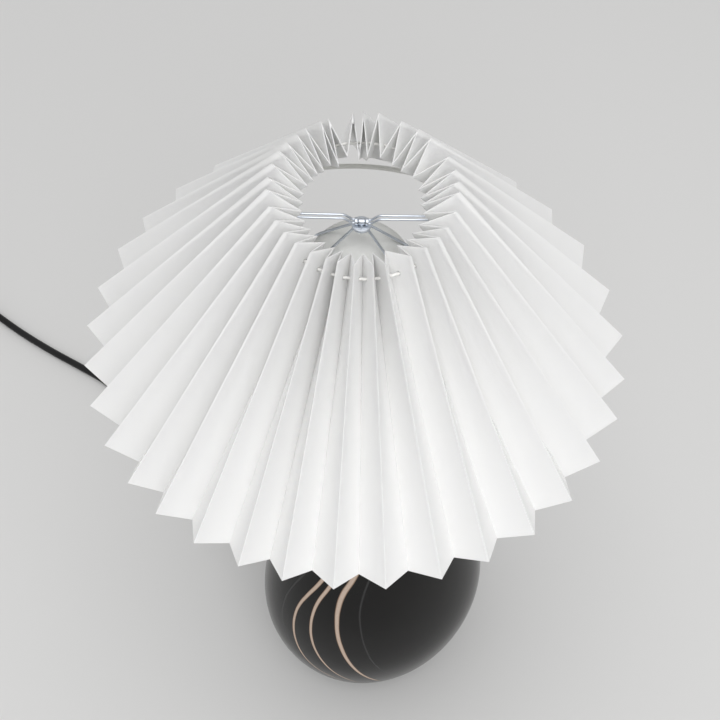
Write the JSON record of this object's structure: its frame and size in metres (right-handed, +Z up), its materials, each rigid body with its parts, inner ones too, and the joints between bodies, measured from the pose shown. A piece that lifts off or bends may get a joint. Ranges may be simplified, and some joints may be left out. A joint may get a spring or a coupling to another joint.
{
  "type": "pleated paper table lamp",
  "caption": "Table lamp with a tall dark glazed ceramic base, a bare bulb, and a hand-pleated white paper shade carried by a wire clip on the bulb; black cord with switch and plug.",
  "frame": {"origin": "on the table under the axis of the neck and lamp holder, at the underside of the felt", "axes": "+Z up along the neck's axis; -Y is the front, where the three pale stripes are; the cord leaves at the back left, towards -X and +Y"},
  "size_m": [0.7258, 0.487, 0.5436],
  "materials": {
    "glaze": "dark satin glaze with three fine tan stripes",
    "felt": "pressed felt",
    "black_rubber": "matt",
    "black_metal": "satin black",
    "plated_steel": "zinc plated",
    "black_plastic": "fine matt grain",
    "holder_ceramic": "unglazed",
    "brass": "bare",
    "frosted_glass": "frosted inside",
    "cap_aluminium": "bare",
    "black_glass": "glossy",
    "clear_glass": "clear",
    "filament_yellow": "phosphor coat",
    "spring_steel": "bright",
    "shade_paper": "smooth white paper, sharply creased",
    "white_string": "twisted",
    "white_enamel": "white coated wire",
    "cord_black": "smooth round sheath"
  },
  "bodies": {
    "root": {"ceramic_body": "glaze", "base_felt": "felt", "cord_sleeve": "black_rubber", "neck_gasket": "black_rubber", "neck_cap": "black_metal", "neck_washer": "plated_steel", "threaded_tube": "plated_steel", "tube_nuts": "plated_steel", "holder_cap": "black_plastic", "holder_skirt": "black_plastic", "holder_core": "holder_ceramic", "terminal_screws": "brass", "core_screws": "plated_steel", "thread_sleeve": "plated_steel", "centre_contact": "brass", "inner_lead": "cord_black", "cord_lead": "cord_black", "cord_coil": "cord_black", "switch_base": "black_plastic", "switch_cover": "black_plastic", "switch_pin": "plated_steel", "switch_screws": "plated_steel", "plug_body": "black_plastic", "plug_pins": "plated_steel", "plug_relief": "black_rubber"},
    "bulb": {"bulb_glass": "frosted_glass", "bulb_cap": "cap_aluminium", "bulb_insulator": "black_glass", "bulb_contact": "plated_steel", "bulb_stem": "clear_glass", "bulb_filaments": "filament_yellow", "filament_wires": "plated_steel"},
    "clip": {"clip_loop_left": "spring_steel", "clip_loop_right": "spring_steel", "clip_ring": "spring_steel"},
    "swivel": {"clip_barrel": "spring_steel"},
    "shade": {"carrier_axle": "spring_steel", "pleated_shade": "shade_paper", "gather_string": "white_string", "carrier_wire_left": "spring_steel", "carrier_wire_right": "spring_steel", "hem_hoop": "white_enamel"},
    "rocker": {"switch_rocker": "black_plastic"}
  },
  "joints": [
    {"name": "bulb_turn", "type": "hinge", "parent": "root", "child": "bulb", "pos_m": [0, 0, 0.469], "axis": [0, 0, 1], "continuous": true},
    {"name": "clip_lift", "type": "slide", "parent": "bulb", "child": "clip", "axis": [0.0401, 0, 0.9992], "range_m": [0, 0.06]},
    {"name": "shade_turn", "type": "hinge", "parent": "clip", "child": "swivel", "pos_m": [0, 0, 0.469], "axis": [0.0401, 0, 0.9992], "continuous": true},
    {"name": "shade_tilt", "type": "hinge", "parent": "swivel", "child": "shade", "pos_m": [0.00187, 0, 0.51546], "axis": [0.9992, 0, -0.0401], "range_deg": [-10, 10]},
    {"name": "rocker_press", "type": "hinge", "parent": "root", "child": "rocker", "pos_m": [-0.44, 0.318, 0.0148], "axis": [-0.1736, -0.9848, 0], "range_deg": [-18, 0]}
  ]
}
